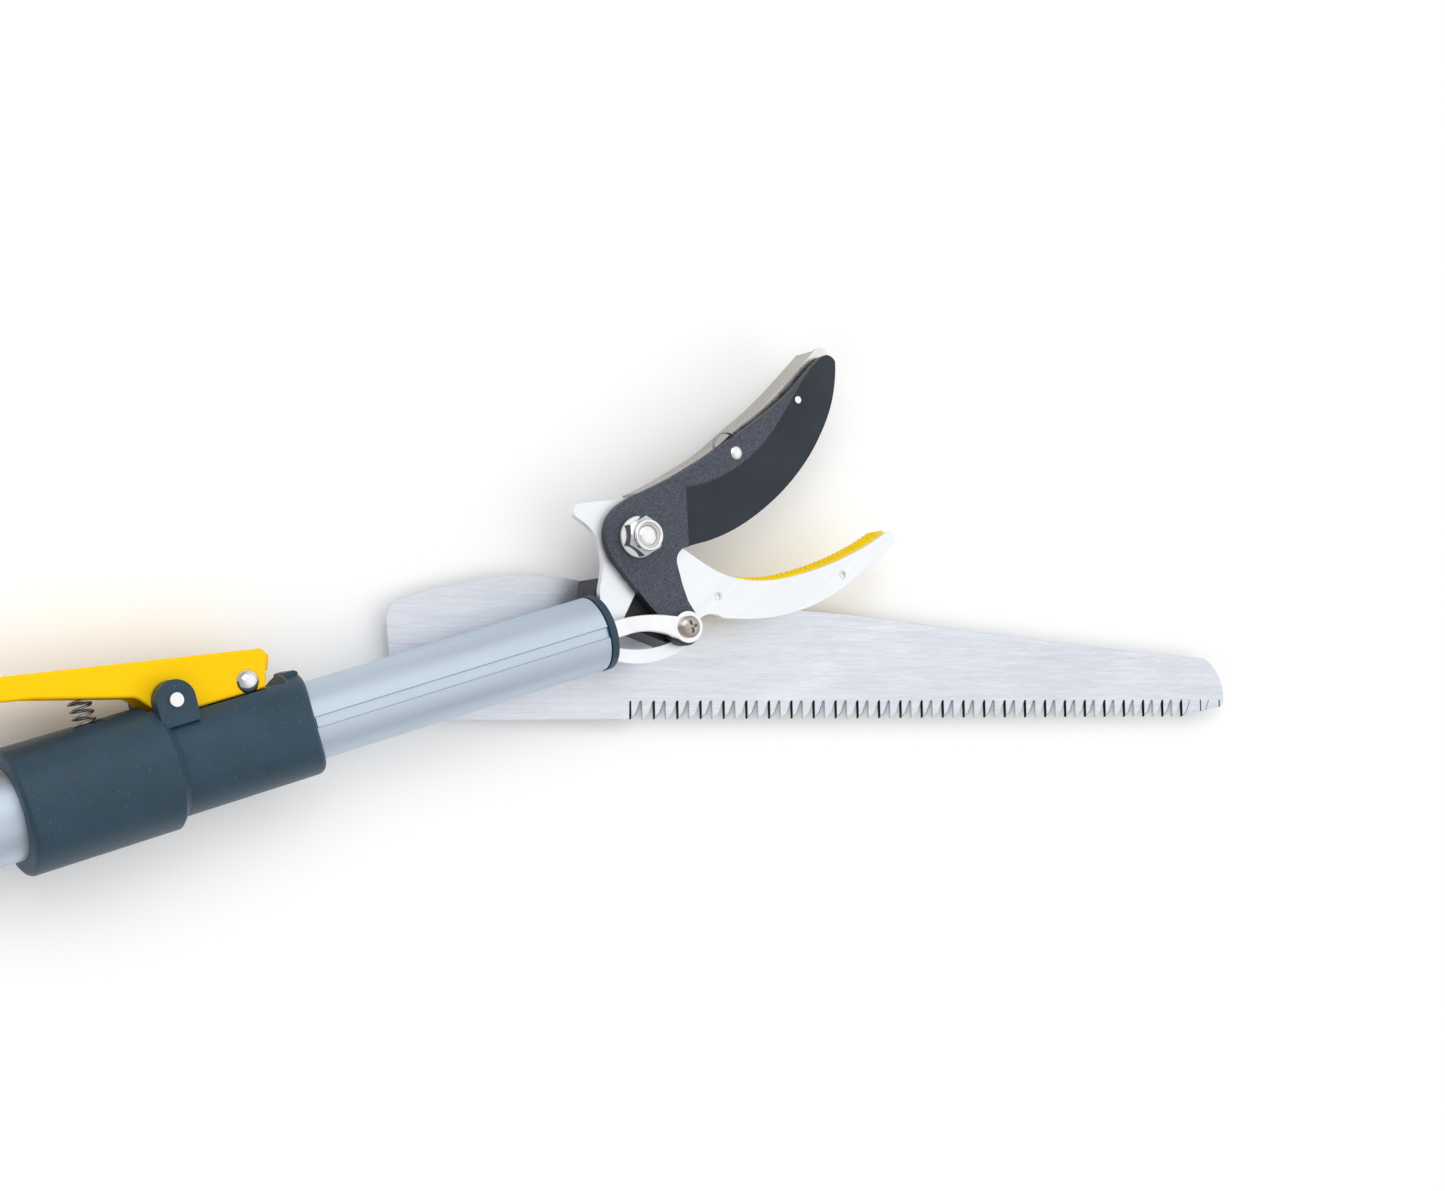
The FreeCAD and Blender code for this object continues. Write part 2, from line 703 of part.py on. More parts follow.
def grind_bevel(body):
    """The ground face: a ruled bevel from the cutting edge up to the grinding line."""
    rim = offset_points([(44.8, 21.6)] + BLADE_EDGE[1:] + [(132.4, 81.0)], -0.3)
    corners = [(142.0, 81.0), (142.0, 8.0), (43.0, 8.0), (44.6, 20.4)]
    low = draw(body, [outline(rim[0], ("curve", rim[1:]), *corners)], lift=cell("edge_thickness"))
    high = draw(body, [outline(GRIND_LINE[0], ("curve", GRIND_LINE[1:]), *corners)],
                lift=cell("blade_thickness") + " + 0.05")
    before = body.Shape.Volume
    bevel = body.newObject("PartDesign::SubtractiveLoft", "blade_bevel")
    bevel.Profile = low
    bevel.Sections = [high]
    bevel.Ruled = True
    doc.recompute()
    if not 0.5 * before < body.Shape.Volume < 0.95 * before:
        raise RuntimeError("the blade's bevel failed")


def make_link():
    body = new_body("drive_link", (HEAD, 0, cell("link_z")))
    tail = (size("link_tail_x"), 0.0)
    edge = outline(
        polar(tail, 5.0, 45), (tail[0] + 6.5, 3.2), (4.0, 3.2),
        ("arc", (17.5, 1.9), polar(CRANK, 5.95, 122)),
        ("arc", polar(CRANK, 5.95, 0), polar(CRANK, 5.95, 216)),
        ("arc", (20.0, -5.2), (8.0, -3.4)), (tail[0] + 6.5, -3.4), polar(tail, 5.0, -45),
        ("arc", (tail[0] - 5.0, 0.0), polar(tail, 5.0, 45)))
    pad(body, draw(body, [edge]), cell("link_thickness"))
    slot = capsule((tail[0], -1.5), (tail[0], 1.3), 1.8)
    bore = (cell("crank_x"), cell("crank_y"), cell("crank_screw_radius") + " + 0.05")
    pocket(body, draw(body, [slot], [bore]))
    soften_rim(body, 0.45)
    keep(body)

    top = size("link_z") + size("link_thickness") + 0.08
    at = (HEAD + " + " + cell("crank_x"), cell("crank_y"), 0)
    screw = new_body("link_screw", at)
    shank = size("crank_screw_radius")
    profile = outline((0, 0.4), (shank - 0.5, 0.4), (shank, 0.9), (shank, top), (4.15, top),
                      (4.15, top + 1.2), dome(4.15, top + 1.2, 1.6))
    turn(screw, draw(screw, [profile], plane="XZ_Plane"))
    half, reach = 0.55, 2.4
    cross = outline((half, half), (reach, half), (reach, -half), (half, -half), (half, -reach),
                    (-half, -reach), (-half, -half), (-reach, -half), (-reach, half), (-half, half),
                    (-half, reach), (half, reach))
    pocket(screw, draw(screw, [cross], lift=top + 3.0), 2.0)
    keep(screw)


def soften_rim(body, radius):
    """Round the long edges of a flat plate's upper face."""
    top = body.Tip.Shape.BoundBox.ZMax

    def on_rim(edge):
        bounds = edge.BoundBox
        return bounds.ZMin > top - 1e-3 and edge.Length > 6.0 and edge.Curve.TypeId != "Part::GeomCircle"

    round_edges(body, radius, on_rim)


HOLDER_LINE = [(33.4, 45.9), (42.2, 47.3), (57.0, 50.6), (71.5, 54.9), (80.9, 59.0), (90.3, 62.7),
               (100.2, 67.1), (110.3, 72.4), (118.8, 77.1), (125.0, 80.6)]


def make_holder():
    body = new_body("holder", (HEAD, 0, cell("holder_z")))
    web = outline(
        HOLDER_LINE[0], ("curve", HOLDER_LINE[1:]), ("arc", (128.6, 80.6), (130.2, 77.4)),
        (128.8, 75.4),
        ("curve", [(122.0, 71.8), (114.0, 65.0), (110.6, 58.4), (105.0, 58.6), (96.0, 57.6),
                   (86.0, 52.0), (80.5, 46.6), (75.0, 44.4), (69.0, 46.6), (58.0, 47.2)]),
        (34.0, 44.2))
    pad(body, draw(body, [web]), cell("holder_sheet"))
    slot_end = polar(HOLDER_PIN, math.dist(HOLDER_PIN, GUIDE_PIN), 22.0 - 4.2)
    slot = capsule(GUIDE_PIN, slot_end, 1.7)
    pin_hole = (cell("holder_pin_x"), cell("holder_pin_y"), 2.05)
    pocket(body, draw(body, [slot], [pin_hole]))
    inner = list(reversed(offset_points(HOLDER_LINE, -1.4)))
    flange = outline(HOLDER_LINE[0], ("curve", HOLDER_LINE[1:]), inner[0], ("curve", inner[1:]))
    flange_sketch = draw(body, [flange], lift=cell("holder_sheet"))
    pad(body, flange_sketch, cell("holder_flange") + " + " + cell("holder_sheet"), down=True)
    keep(body)

    z_top = size("blade_z") + size("blade_thickness")
    z_low = size("holder_z")
    keep(rivet("holder_pin", (HEAD + " + " + cell("holder_pin_x"), cell("holder_pin_y"), 0),
               2.55, 0.9, 1.98, z_low - 0.1, z_top, 3.4, 1.0))
    keep(rivet("holder_guide_pin", (HEAD + " + " + cell("guide_pin_x"), cell("guide_pin_y"), 0),
               1.5, 0.3, 1.28, z_low - 0.1, z_top, 2.8, 0.9))
    base = z_low + size("holder_sheet") + 0.5
    keep(coil("holder_spring", 5.6, 0.36, 0.78, 1.68,
              (HEAD + " + " + cell("holder_pin_x") + " - 1.1", cell("holder_pin_y") + " + 3.05", base),
              (0, 0, 1), 200.0))


# ---------------------------------------------------------------- saw

def saw_point(x, y):
    """A point of the head, in the saw's own frame."""
    angle = math.radians(-size("saw_angle"))
    dx, dy = x - size("saw_x"), y - size("saw_y")
    return (dx * math.cos(angle) - dy * math.sin(angle), dx * math.sin(angle) + dy * math.cos(angle))


CARRIER_BLOCK = [(7.3, 19.6, 0.6), (36.5, 4.6, 2.5), (37.6, -9.0, 3.0), (31.5, -13.4, 2.0),
                 (20.0, -5.4, 1.5), (0.9, 7.2, 1.0)]
TANG_BOLTS = [(-12.0, 0.0), (-26.0, 0.0)]
SAW_SCREWS = [(14.0, 9.0), (30.0, -3.5), (-60.0, 0.0)]


def make_saw():
    body = new_body("saw_blade", (HEAD + " + " + cell("saw_x"), cell("saw_y"), cell("saw_z")),
                    (0, 0, 1), size("saw_angle"))
    start, pitch, depth = size("tooth_start"), size("tooth_pitch"), size("tooth_depth")
    last = int(size("tooth_count")) - 1
    teeth = [(start - 0.6, 0.0), (start - 0.4, depth - 0.2), (start - 0.12, depth - 0.2), (start, 0.0)]
    for i in range(last):
        u = start + i * pitch
        teeth += [(u + 2.6, 2.1), (u + pitch - 0.55, depth - 0.3), (u + pitch - 0.35, depth),
                  (u + pitch - 0.12, depth - 0.25), (u + pitch, 0.0)]
    length = start + last * pitch
    edge = outline(
        *teeth, (length + 1.0, 0.8), (length + 4.0, 1.2), (286.4, 4.0),
        ("arc", (288.2, 5.6), (288.5, 8.4)), ("curve", [(287.9, 13.4), (285.6, 18.4), (282.2, 22.2)]),
        ("arc", (279.8, 24.2), (276.8, 24.9)),
        ("curve", [(243.7, 27.2), (193.1, 31.8), (144.6, 36.5), (108.4, 40.3), (79.0, 42.3)]),
        (-14.0, 51.4),
        ("curve", [(-27.2, 53.3), (-44.3, 54.1), (-61.3, 52.1), (-84.6, 47.1)]),
        (-91.0, 44.9), ("arc", (-97.2, 41.0), (-98.4, 34.8)), (-97.3, 23.7),
        ("curve", [(-95.5, 10.0), (-91.0, 3.0), (-82.0, 0.0)]))
    pad(body, draw(body, [edge]), cell("saw_thickness"))
    holes = [saw_point(x, y) + (cell("bolt_radius") + " + 0.05",) for x, y in TANG_BOLTS + SAW_SCREWS]
    pocket(body, draw(body, (), holes))
    pocket(body, draw(body, tooth_grinds(0), lift=cell("saw_thickness")), 0.42)
    pocket(body, draw(body, tooth_grinds(1)), 0.42, up=True)
    keep(body)


def tooth_grinds(side):
    """Relief ground on the slanted back and facet of every second tooth, from one face."""
    start, pitch, depth = size("tooth_start"), size("tooth_pitch"), size("tooth_depth")
    wires = []
    for i in range(int(size("tooth_count")) - 1):
        if i % 2 != side:
            continue
        u = start + i * pitch
        wires.append(outline((u + 0.5, -0.4), (u + 0.12, 0.75), (u + 2.05, 2.45),
                             (u + pitch - 1.3, depth - 0.3), (u + pitch - 0.35, depth - 0.3),
                             (u + 3.0, 2.0), (u + 3.0, -0.4)))
    return wires


def make_saw_carrier():
    body = new_body("saw_carrier", (HEAD, 0, -15.0))
    pad(body, draw(body, [rounded(CARRIER_BLOCK)]), 14.8)
    saddle = outline((-68.0, -9.0), (8.0, -9.0), (8.0, 9.0), (-68.0, 9.0))
    pad(body, draw(body, [saddle]), 4.0)
    # the seat for the pole and its end cap
    seat = draw(body, (), [(0, 15.0, 14.05)], plane="YZ_Plane", lift=-70.0)
    pocket(body, seat, 71.0, up=True)
    cap_seat = draw(body, (), [(0, 15.0, 14.6)], plane="YZ_Plane", lift=-1.5)
    pocket(body, cap_seat, 5.2, up=True)
    holes = [(x, y, cell("bolt_radius") + " + 0.05") for x, y in TANG_BOLTS + SAW_SCREWS[2:]]
    pocket(body, draw(body, (), holes))
    threads = [(x, y, cell("bolt_radius")) for x, y in SAW_SCREWS[:2]]
    pocket(body, draw(body, (), threads), 9.0, up=True)
    keep(body)


def button_screw(x, y, top):
    """A button-head screw driven up from behind the saw, its tip at z=top."""
    seat = size("saw_z") - 0.02
    radius, head = size("bolt_radius") - 0.02, size("bolt_head_radius")
    height = size("bolt_head_height")
    profile = outline((0, top), (radius - 0.5, top), (radius, top - 0.5), (radius, seat),
                      (head, seat), ("arc", (head * 0.78, seat - height * 0.66), (2.0, seat - height)),
                      (1.45, seat - height), (1.45, seat - height + 1.2), (0, seat - height + 1.2))
    return turned_piece("saw_fastener", profile, (HEAD + " + %s" % x, y, 0))


def make_saw_fasteners():
    long_ones = [button_screw(x, y, 2.9) for x, y in TANG_BOLTS]
    keep(group("saw_tang_bolts", long_ones))
    tips = [-6.5, -6.5, -8.8]
    short_ones = [button_screw(x, y, tip) for (x, y), tip in zip(SAW_SCREWS, tips)]
    keep(group("saw_screws", short_ones))
    nut = outline((2.5, -11.55), (4.4, -11.55), (4.4, -9.2), (2.5, -9.2))
    keep(turned_piece("pole_rivet_nut", nut, (HEAD + " - 60", 0, 0)))


def drill_inner_pole():
    """Bolt holes through the far wall of the inner pole."""
    body = [node for node in nodes if node.Label == "inner_pole"][0]
    holes = [(x + size("tube_end"), y, cell("bolt_radius") + " + 0.05")
             for x, y in TANG_BOLTS + SAW_SCREWS[2:]]
    pocket(body, draw(body, (), holes), 20)


# ---------------------------------------------------------------- collar and lock lever

LEVER_PIN = (DIMENSIONS["lever_pin_x"], DIMENSIONS["lever_pin_y"])


def make_collar():
    body = new_body("collar", (HEAD, 0, 0))
    bore, front = size("collar_bore"), size("collar_radius")
    socket, rear = size("collar_socket"), size("collar_rear_radius")
    profile = outline(
        (-113.5, bore), (-113.5, front),
        (-170.0, front), (-170.0 - (rear - front), rear), (-224.5, rear),
        ("arc", (-226.0, rear - 0.6), (-226.6, rear - 2.1)), (-226.6, socket), (-175.8, socket),
        (-175.8, bore))
    turn(body, draw(body, [profile], plane="XY_Plane"), "X_Axis")
    # the front rim is scooped, so that it is shortest on the near and far sides
    scoop = outline((-124.5, -22.0), ("arc", (-117.3, 0.0), (-124.5, 22.0)), (-105.0, 22.0), (-105.0, -22.0))
    pocket(body, draw(body, [scoop], plane="XZ_Plane"))

    def front_rim(edge):
        middle = edge.valueAt(0.5 * (edge.FirstParameter + edge.LastParameter))
        return edge.BoundBox.XMin > -123.0 and abs(math.hypot(middle.y, middle.z) - front) < 0.01

    round_edges(body, 2.2, front_rim)
    bump = rounded([(-125.0, 15.0, 0.5), (-119.4, 15.0, 0.5), (-118.4, 18.4, 0.9),
                    (-119.8, 19.3, 0.8), (-122.6, 19.3, 0.8)])
    pad(body, draw(body, [bump]), 12.0, both_ways=True)
    recess = outline((-175.2, 15.6), (-125.4, 15.6), (-123.4, 19.8), (-123.4, 26.0), (-175.2, 26.0))
    pocket(body, draw(body, [recess]), 18.6, both_ways=True)
    spring_well = outline((-199.0, 19.4), (-189.0, 19.4), (-189.0, 24.0), (-199.0, 24.0))
    pocket(body, draw(body, [spring_well]), 10.0, both_ways=True)
    window = outline((-149.0, 10.0), (-128.5, 10.0), (-128.5, 17.0), (-149.0, 17.0))
    pocket(body, draw(body, [window]), 12.6, both_ways=True)
    ear = outline((LEVER_PIN[0] + 6.7, 13.0), (LEVER_PIN[0] + 7.0, LEVER_PIN[1]),
                  ("arc", (LEVER_PIN[0], LEVER_PIN[1] + 7.0), (LEVER_PIN[0] - 7.0, LEVER_PIN[1])),
                  (LEVER_PIN[0] - 7.0, 13.0))
    pad(body, draw(body, [ear], lift=9.3), 5.9)
    pad(body, draw(body, [ear], lift=-9.3), 5.9, down=True)
    pin_hole = [(cell("lever_pin_x"), cell("lever_pin_y"), cell("lever_pin_radius"))]
    pocket(body, draw(body, (), pin_hole))
    key = outline((-168.0, 13.3), (-120.0, 13.3), (-120.0, 14.6), (-168.0, 14.6))
    pad(body, draw(body, [key], plane="XZ_Plane"), 3.4, both_ways=True)
    keep(body)


def make_lock_lever():
    body = new_body("lock_lever", (HEAD, 0, 0))
    side = rounded([(-131.9, 16.3, 0.8), (-128.0, 29.6, 2.2), (-240.5, 48.4, 2.5), (-243.0, 40.5, 2.0),
                    (-212.0, 35.0, 12.0), (-177.0, 25.5, 6.0), (-169.0, 16.6, 1.5)])
    inside = rounded([(-135.3, 10.0, 0.5), (-130.0, 27.9, 0.7), (-238.8, 46.2, 1.0),
                      (-239.8, 30.0, 0.5), (-180.0, 10.0, 0.5)])
    pad(body, draw(body, [side]), cell("lever_width"), both_ways=True)
    inner_width = cell("lever_width") + " - 2 * " + cell("lever_sheet")
    pocket(body, draw(body, [inside]), inner_width, both_ways=True)
    tab = rounded([(-131.0, 21.2, 0.3), (-124.2, 21.2, 0.4), (-122.3, 26.0, 1.5),
                   (-124.0, 28.6, 1.2), (-131.0, 29.6, 0.3)])
    pad(body, draw(body, [tab], lift="-0.5 * " + cell("lever_width")), cell("lever_sheet"))
    holes = [(cell("lever_pin_x"), cell("lever_pin_y"), cell("lever_pin_radius") + " + 0.05"),
             (cell("shoe_pin_x"), cell("shoe_pin_y"), cell("shoe_pin_radius"))]
    pocket(body, draw(body, (), holes))

    def upper_long_edge(edge):
        bounds = edge.BoundBox
        outside = abs(abs(bounds.ZMin) - size("lever_width") / 2.0) < 1e-3
        return outside and abs(bounds.ZMax - bounds.ZMin) < 1e-3 and bounds.YMax > 29.0 \
            and bounds.YMin > 27.0 and edge.Length > 2.0

    round_edges(body, 1.2, upper_long_edge)
    keep(body)

    reach = 16.1
    pin = outline((0, -reach), (2.6, -reach), (2.6, -15.3), (1.98, -15.3), (1.98, 15.3), (2.6, 15.3),
                  (2.6, reach - 0.25), (2.35, reach), (0, reach))
    keep(turned_piece("lever_pin", pin, (HEAD + " + " + cell("lever_pin_x"), cell("lever_pin_y"), 0)))

    shank = size("shoe_pin_radius") - 0.02
    domed = outline((0, -10.2), (3.4, -10.2), (4.2, -9.4), (4.2, -8.55), (shank, -8.55),
                    (shank, 8.55), (4.2, 8.55), dome(4.2, 8.55, 2.35))
    keep(turned_piece("shoe_pin", domed, (HEAD + " + " + cell("shoe_pin_x"), cell("shoe_pin_y"), 0)))

    shoe = new_body("brake_shoe", (HEAD, 0, 0))
    block = rounded([(-147.3, 12.0, 0.3), (-134.2, 12.0, 0.3), (-133.6, 20.0, 0.5),
                     (-133.6, 24.0, 2.0), (-142.0, 24.0, 2.0), (-147.3, 18.4, 1.0)])
    pad(shoe, draw(shoe, [block]), 11.4, both_ways=True)
    pole_seat = draw(shoe, (), [(0, 0, 14.1)], plane="YZ_Plane", lift=-150.0)
    pocket(shoe, pole_seat, 30.0, up=True)
    bore = (cell("shoe_pin_x"), cell("shoe_pin_y"), cell("shoe_pin_radius") + " + 0.03")
    pocket(shoe, draw(shoe, (), [bore]))
    keep(shoe)

    keep(coil("lever_spring", 3.6, 0.5, 2.6, 17.6, (HEAD + " - 194", 20.2, 0), *ALONG_Y))


# ---------------------------------------------------------------- handle

# corner points of the pistol-shaped housing, seen from the side
HOUSING = [
    (192.0, -20.0, 2.0), (192.0, 20.0, 2.0), (24.0, 21.0, 9.0), (10.0, 10.0, 8.0),
    (10.0, -8.0, 8.0), (46.0, -30.0, 12.0), (28.0, -126.0, 8.0), (34.0, -140.0, 5.0),
    (70.0, -140.0, 6.0), (72.0, -124.0, 8.0), (90.0, -42.0, 10.0), (94.0, -36.0, 1.5),
    (166.0, -36.0, 6.0), (172.0, -20.0, 4.0),
]
HOUSING_SCREWS = [(28.0, 8.0), (158.0, -27.0), (66.0, -30.0), (62.0, -58.0), (48.0, -104.0)]


def make_shell(label, sign):
    """One half of the housing: sign is +1 for the near shell and -1 for the far shell."""
    body = new_body(label)
    gap = 0.05
    depth = cell("shell_width") + " - %s" % gap
    base = draw(body, [rounded(HOUSING)], lift=sign * gap)
    pad(body, base, depth, down=sign < 0)

    def outer_rim(edge):
        bounds = edge.BoundBox
        level = sign * size("shell_width")
        return abs(bounds.ZMin - level) < 1e-3 and abs(bounds.ZMax - level) < 1e-3

    # the grip narrows below the barrel
    trim = outline((-10.0, -36.0), (120.0, -36.0), (120.0, -160.0), (-10.0, -160.0))
    trim_sketch = draw(body, [trim], lift=sign * size("grip_width"))
    pocket(body, trim_sketch, 10, up=sign > 0)
    round_edges(body, 3.0, outer_rim)

    hollow = rounded(
        [(146.0, -16.6, 1.0), (146.0, 17.4, 1.0), (26.0, 18.4, 6.0), (13.5, 8.0, 5.0),
         (13.5, -6.0, 6.0), (49.5, -29.5, 10.0), (32.0, -124.0, 5.0), (37.0, -136.4, 3.0),
         (67.0, -134.0, 3.0), (68.5, -123.0, 6.0), (86.5, -40.5, 6.0), (92.0, -33.4, 1.0),
         (160.0, -33.4, 3.0), (163.0, -22.0, 1.0)])
    cavity = draw(body, [hollow])
    pocket(body, cavity, cell("grip_width") + " - " + cell("shell_wall"), up=sign > 0)
    barrel = rounded([(146.0, -30.0, 2.0), (146.0, 17.4, 1.0), (26.0, 18.4, 6.0), (13.5, 8.0, 5.0),
                      (13.5, -6.0, 6.0), (52.0, -30.0, 4.0)])
    pocket(body, draw(body, [barrel]), cell("shell_width") + " - " + cell("shell_wall"), up=sign > 0)
    seat = draw(body, (), [(0, 0, cell("outer_pole_radius") + " + 0.05")], plane="YZ_Plane", lift=140.0)
    pocket(body, seat, 60.0, up=True)
    mouth = outline((95.0, -30.0), (152.0, -30.0), (152.0, -50.0), (95.0, -50.0))
    pocket(body, draw(body, [mouth]), 17.4, both_ways=True)

    bosses = [(x, y, 4.0) for x, y in HOUSING_SCREWS] + [
        (cell("trigger_x"), cell("trigger_y"), 5.0), (cell("bail_x"), cell("bail_y"), 3.6)]
    for x, y, radius in bosses:
        boss = draw(body, (), [(x, y, radius)], lift=sign * (8.7 if radius == 5.0 else gap))
        reach = size("grip_width") - 1.0 - (8.7 if radius == 5.0 else gap)
        if number(y) > -34.0:
            reach += size("shell_width") - size("grip_width")
        pad(body, boss, reach, down=sign < 0)
    through = [(cell("trigger_x"), cell("trigger_y"), cell("trigger_pin_radius")),
               (cell("bail_x"), cell("bail_y"), cell("bail_wire_radius") + " + 0.05")]
    through += [(x, y, 1.5) for x, y in HOUSING_SCREWS]
    pocket(body, draw(body, (), through))
    if sign < 0:
        for x, y in HOUSING_SCREWS:
            level = size("shell_width") if y > -34.0 else size("grip_width")
            sink = draw(body, (), [(x, y, 3.0)], lift=-(level - 2.0))
            pocket(body, sink, 4.0)
    keep(body)


def make_handle():
    make_shell("handle_near", 1)
    make_shell("handle_far", -1)

    screws = []
    for x, y in HOUSING_SCREWS:
        level = -(size("shell_width") if y > -34.0 else size("grip_width")) + 0.2
        profile = outline((0, level), (2.9, level), (2.9, level + 1.75), (1.45, level + 1.75),
                          (1.45, 9.0), (0, 10.0))
        screws.append(turned_piece("housing_screw", profile, (x, y, 0)))
    keep(group("housing_screws", screws))

    pin = cylinder(cell("trigger_pin_radius") + " - 0.02", 2 * size("shell_width") - 1.0,
                   (cell("trigger_x"), cell("trigger_y"), 0.5 - size("shell_width")))
    pin.Label = "trigger_pin"
    keep(pin)

    seat = cylinder(6.5, 6, (56, 0, 0), *ALONG_X)
    seat_bore = cylinder(3.2, 4, (58.5, 0, 0), *ALONG_X)
    keep(cut("spring_seat", seat, seat_bore))
    keep(coil("return_spring", 4.6, 0.6, 4.0, 36.0, (62.8, 0, 0), *ALONG_X))
    ring = cylinder(5.8, 6, (100, 0, 0), *ALONG_X)
    ring_bore = cylinder(cell("rod_radius") + " + 0.01", 8, (99, 0, 0), *ALONG_X)
    keep(cut("spring_collar", ring, ring_bore))

    eye = new_body("hanging_eye")
    tab = rounded([(-9.0, -9.0, 8.0), (9.95, -9.0, 0.5), (9.95, 9.0, 0.5), (-9.0, 9.0, 8.0)])
    sketch = draw(eye, [tab], [(0, 0, cell("eye_radius"))])
    pad(eye, sketch, cell("eye_thickness"), both_ways=True)
    round_edges(eye, 1.0, lambda edge: edge.BoundBox.ZLength < 1e-3 and edge.BoundBox.XMax < 9.0
                and edge.Curve.TypeId != "Part::GeomCircle")
    keep(eye)

    start = V(43.4, -44.0, 0)
    end = V(30.2, -114.5, 0)
    along = (end - start).normalize()
    side = V(along.y, -along.x, 0)
    corners = [start + side * 0.05, end + side * 0.05, end + side * 2.6, start + side * 2.6]
    grip = new_body("grip_pad")
    shape = [(corner.x, corner.y, radius) for corner, radius in zip(corners, (0.4, 0.4, 2.0, 2.0))]
    pad(grip, draw(grip, [rounded(shape)]), 22.0, both_ways=True)
    keep(grip)


def make_trigger():
    body = new_body("trigger", (cell("trigger_x"), cell("trigger_y"), 0), (0, 0, 1),
                    size("trigger_angle"))
    side = outline(
        (5.2, 0.0), ("arc", (0.0, 5.2), (-5.2, 0.0)), (-8.0, -16.0), (-8.0, -50.0),
        ("curve", [(-8.0, -62.0), (-8.4, -86.0), (-5.4, -106.0), (0.6, -117.6), (6.6, -121.0),
                   (12.2, -118.0), (11.2, -110.0), (6.6, -98.0), (5.6, -84.0), (7.2, -68.0),
                   (8.0, -56.0)]), (8.0, -16.0))
    pad(body, draw(body, [side]), cell("trigger_width"), both_ways=True)

    def long_rim(edge):
        bounds = edge.BoundBox
        return bounds.ZLength < 1e-3 and bounds.YMax < -49.0 and edge.Length > 10.0

    fork = outline((-12.0, 12.0), (12.0, 12.0), (12.0, -46.0), (-12.0, -46.0))
    pocket(body, draw(body, [fork]), cell("trigger_slot"), both_ways=True)
    slot = capsule((0, -36.45), (0, -38.85), size("rod_pin_radius") + 0.3)
    pocket(body, draw(body, [slot], [(0, 0, cell("trigger_pin_radius") + " + 0.05")]))
    round_edges(body, 2.5, long_rim)
    keep(body)

    rod_end = new_body("rod_end")
    x, y = size("rod_pin_x"), size("rod_pin_y")
    plate = rounded([(x - 7.0, 7.0, 3.0), (x - 7.0, -18.0, 4.0), (x - 5.5, y - 5.5, 4.0),
                     (x + 5.5, y - 5.5, 4.0), (x + 7.0, -18.0, 4.0), (x + 7.0, 7.0, 3.0)])
    pad(rod_end, draw(rod_end, [plate]), 7.2, both_ways=True)
    pocket(rod_end, draw(rod_end, (), [(cell("rod_pin_x"), cell("rod_pin_y"), cell("rod_pin_radius"))]))
    bore = draw(rod_end, (), [(0, 0, cell("rod_radius"))], plane="YZ_Plane", lift=x - 20.0)
    pocket(rod_end, bore, 40.0, up=True)
    keep(rod_end)

    pin = cylinder(cell("rod_pin_radius") + " - 0.02", 15.6,
                   (cell("rod_pin_x"), cell("rod_pin_y"), -7.8))
    pin.Label = "rod_pin"
    keep(pin)


def make_bail():
    """Wire bail that swings over the squeezed trigger and keeps the jaws shut for transport."""
    body = new_body("lock_bail", (cell("bail_x"), cell("bail_y"), 0), (0, 0, 1), 185.0)
    wire = size("bail_wire_radius")
    reach, half, bend = size("bail_reach"), 18.6, 6.0
    path = body.newObject("Sketcher::SketchObject", "lock_bail_path")
    path.AttachmentSupport = [(origin_feature(body, "XZ_Plane"), "")]
    path.MapMode = "FlatFace"
    turn_in = bend * (1.0 - math.sqrt(0.5))
    path.addGeometry([
        Part.LineSegment(V(0, half - 5.0, 0), V(0, half - 2.5, 0)),
        Part.Arc(V(0, half - 2.5, 0), V(2.5 * (1 - math.sqrt(0.5)), half - 2.5 + 2.5 * math.sqrt(0.5), 0),
                 V(2.5, half, 0)),
        Part.LineSegment(V(2.5, half, 0), V(reach - bend, half, 0)),
        Part.Arc(V(reach - bend, half, 0), V(reach - turn_in, half - turn_in, 0),
                 V(reach, half - bend, 0)),
        Part.LineSegment(V(reach, half - bend, 0), V(reach, bend - half, 0)),
        Part.Arc(V(reach, bend - half, 0), V(reach - turn_in, turn_in - half, 0),
                 V(reach - bend, -half, 0)),
        Part.LineSegment(V(reach - bend, -half, 0), V(2.5, -half, 0)),
        Part.Arc(V(2.5, -half, 0), V(2.5 * (1 - math.sqrt(0.5)), 2.5 - half - 2.5 * math.sqrt(0.5), 0),
                 V(0, 2.5 - half, 0)),
        Part.LineSegment(V(0, 2.5 - half, 0), V(0, 5.0 - half, 0)),
    ], False)
    section = draw(body, (), [(0, 0, wire)], lift=half - 5.0)
    sweep = body.newObject("PartDesign::AdditivePipe", "lock_bail_wire")
    sweep.Profile = section
    sweep.Spine = (path, [])
    doc.recompute()
    keep(body)


# ---------------------------------------------------------------- build and write

def check_document():
    for obj in doc.Objects:
        if "Invalid" in obj.State or "Error" in obj.State:
            raise RuntimeError("%s failed: %s" % (obj.Label, obj.State))
    for node in nodes:
        if node.Shape.isNull() or not node.Shape.isValid():
            raise RuntimeError("%s has no valid shape" % node.Label)


def write_steps():
    os.makedirs("parts", exist_ok=True)
    for node in nodes:
        node.Shape.exportStep("parts/%s.step" % node.Label)
        bounds = node.Shape.BoundBox
        print("%-18s %2d solid(s) x %.1f..%.1f y %.1f..%.1f z %.1f..%.1f" % (
            node.Label, len(node.Shape.Solids), bounds.XMin, bounds.XMax, bounds.YMin, bounds.YMax,
            bounds.ZMin, bounds.ZMax))


